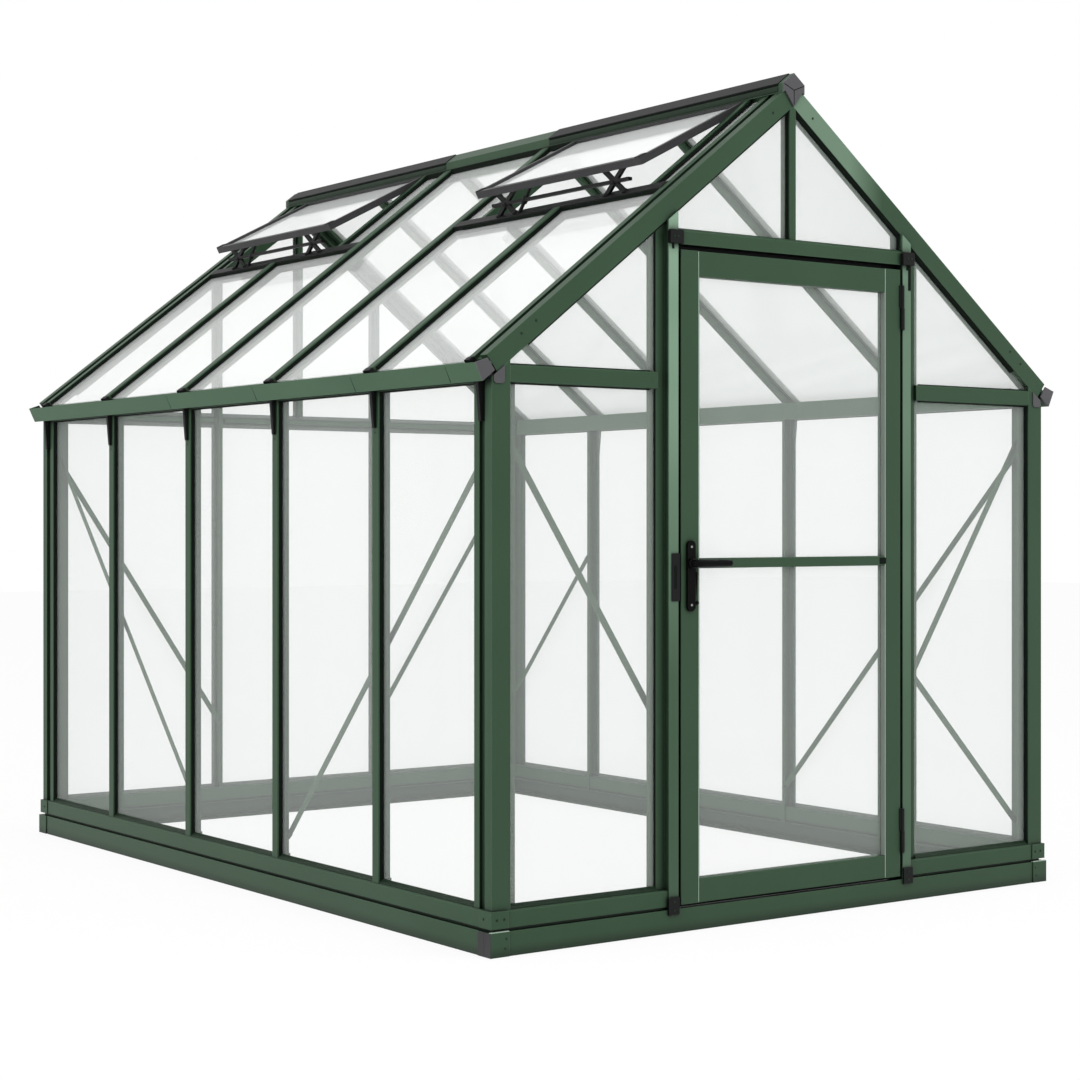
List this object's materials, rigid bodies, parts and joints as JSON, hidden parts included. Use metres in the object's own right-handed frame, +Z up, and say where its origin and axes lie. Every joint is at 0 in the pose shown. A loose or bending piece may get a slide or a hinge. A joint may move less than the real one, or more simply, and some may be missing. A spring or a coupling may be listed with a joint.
{
  "type": "glass greenhouse",
  "caption": "Free-standing gabled greenhouse with an aluminium frame, glass panes, open roof vents and a hinged door with a lever handle.",
  "frame": {"origin": "ground level, in the middle of the plan", "axes": "+Z up, +Y from the door to the back gable, +X to the right of someone facing the door"},
  "size_m": [2.36, 3.1398, 2.5871],
  "materials": {
    "frame_paint": "satin powder coat",
    "grey_plastic": "moulded",
    "black_plastic": "moulded",
    "handle_black": "semi gloss",
    "wall_glass": "clear",
    "roof_glass": "clear"
  },
  "bodies": {
    "frame": {"base_front": "frame_paint", "base_back": "frame_paint", "base_left": "frame_paint", "base_right": "frame_paint", "corner_sleeves": "frame_paint", "sill_front": "frame_paint", "sill_back": "frame_paint", "sill_left": "frame_paint", "sill_right": "frame_paint", "corner_posts": "frame_paint", "left_wall_bars": "frame_paint", "right_wall_bars": "frame_paint", "back_posts": "frame_paint", "door_posts": "frame_paint", "door_head": "frame_paint", "front_eave_bars": "frame_paint", "back_eave_bars": "frame_paint", "gable_mullions": "frame_paint", "front_rafters": "frame_paint", "back_rafters": "frame_paint", "left_roof_bars": "frame_paint", "right_roof_bars": "frame_paint", "ridge_beam": "frame_paint", "eave_left": "frame_paint", "eave_right": "frame_paint", "vent_jambs": "frame_paint", "braces": "frame_paint", "end_caps": "grey_plastic", "vent_frames": "grey_plastic", "ridge_covers": "black_plastic", "eave_knees": "black_plastic", "vent_sills": "black_plastic", "vent_arms": "black_plastic", "door_stops": "black_plastic", "door_frame_brackets": "black_plastic", "door_keep": "black_plastic", "post_hinges": "black_plastic", "left_wall_panes": "wall_glass", "right_wall_panes": "wall_glass", "front_panes": "wall_glass", "back_panes": "wall_glass", "left_roof_panes": "roof_glass", "right_roof_panes": "roof_glass", "vent_panes": "roof_glass"},
    "door": {"door_stiles": "frame_paint", "door_rails": "frame_paint", "door_mid_bar": "frame_paint", "door_panes": "wall_glass", "door_plates": "handle_black", "door_hinges": "black_plastic"},
    "lever": {"door_lever": "handle_black"}
  },
  "joints": [
    {"name": "door_swing", "type": "hinge", "parent": "frame", "child": "door", "pos_m": [0.457, -1.5505, 1.08], "axis": [0, 0, 1], "range_deg": [0, 110]},
    {"name": "lever_turn", "type": "hinge", "parent": "door", "child": "lever", "pos_m": [-0.4175, -1.5295, 1.085], "axis": [0, 1, 0], "range_deg": [0, 45], "stiffness_Nm_per_rad": 1.5, "springref_deg": -22.92}
  ]
}
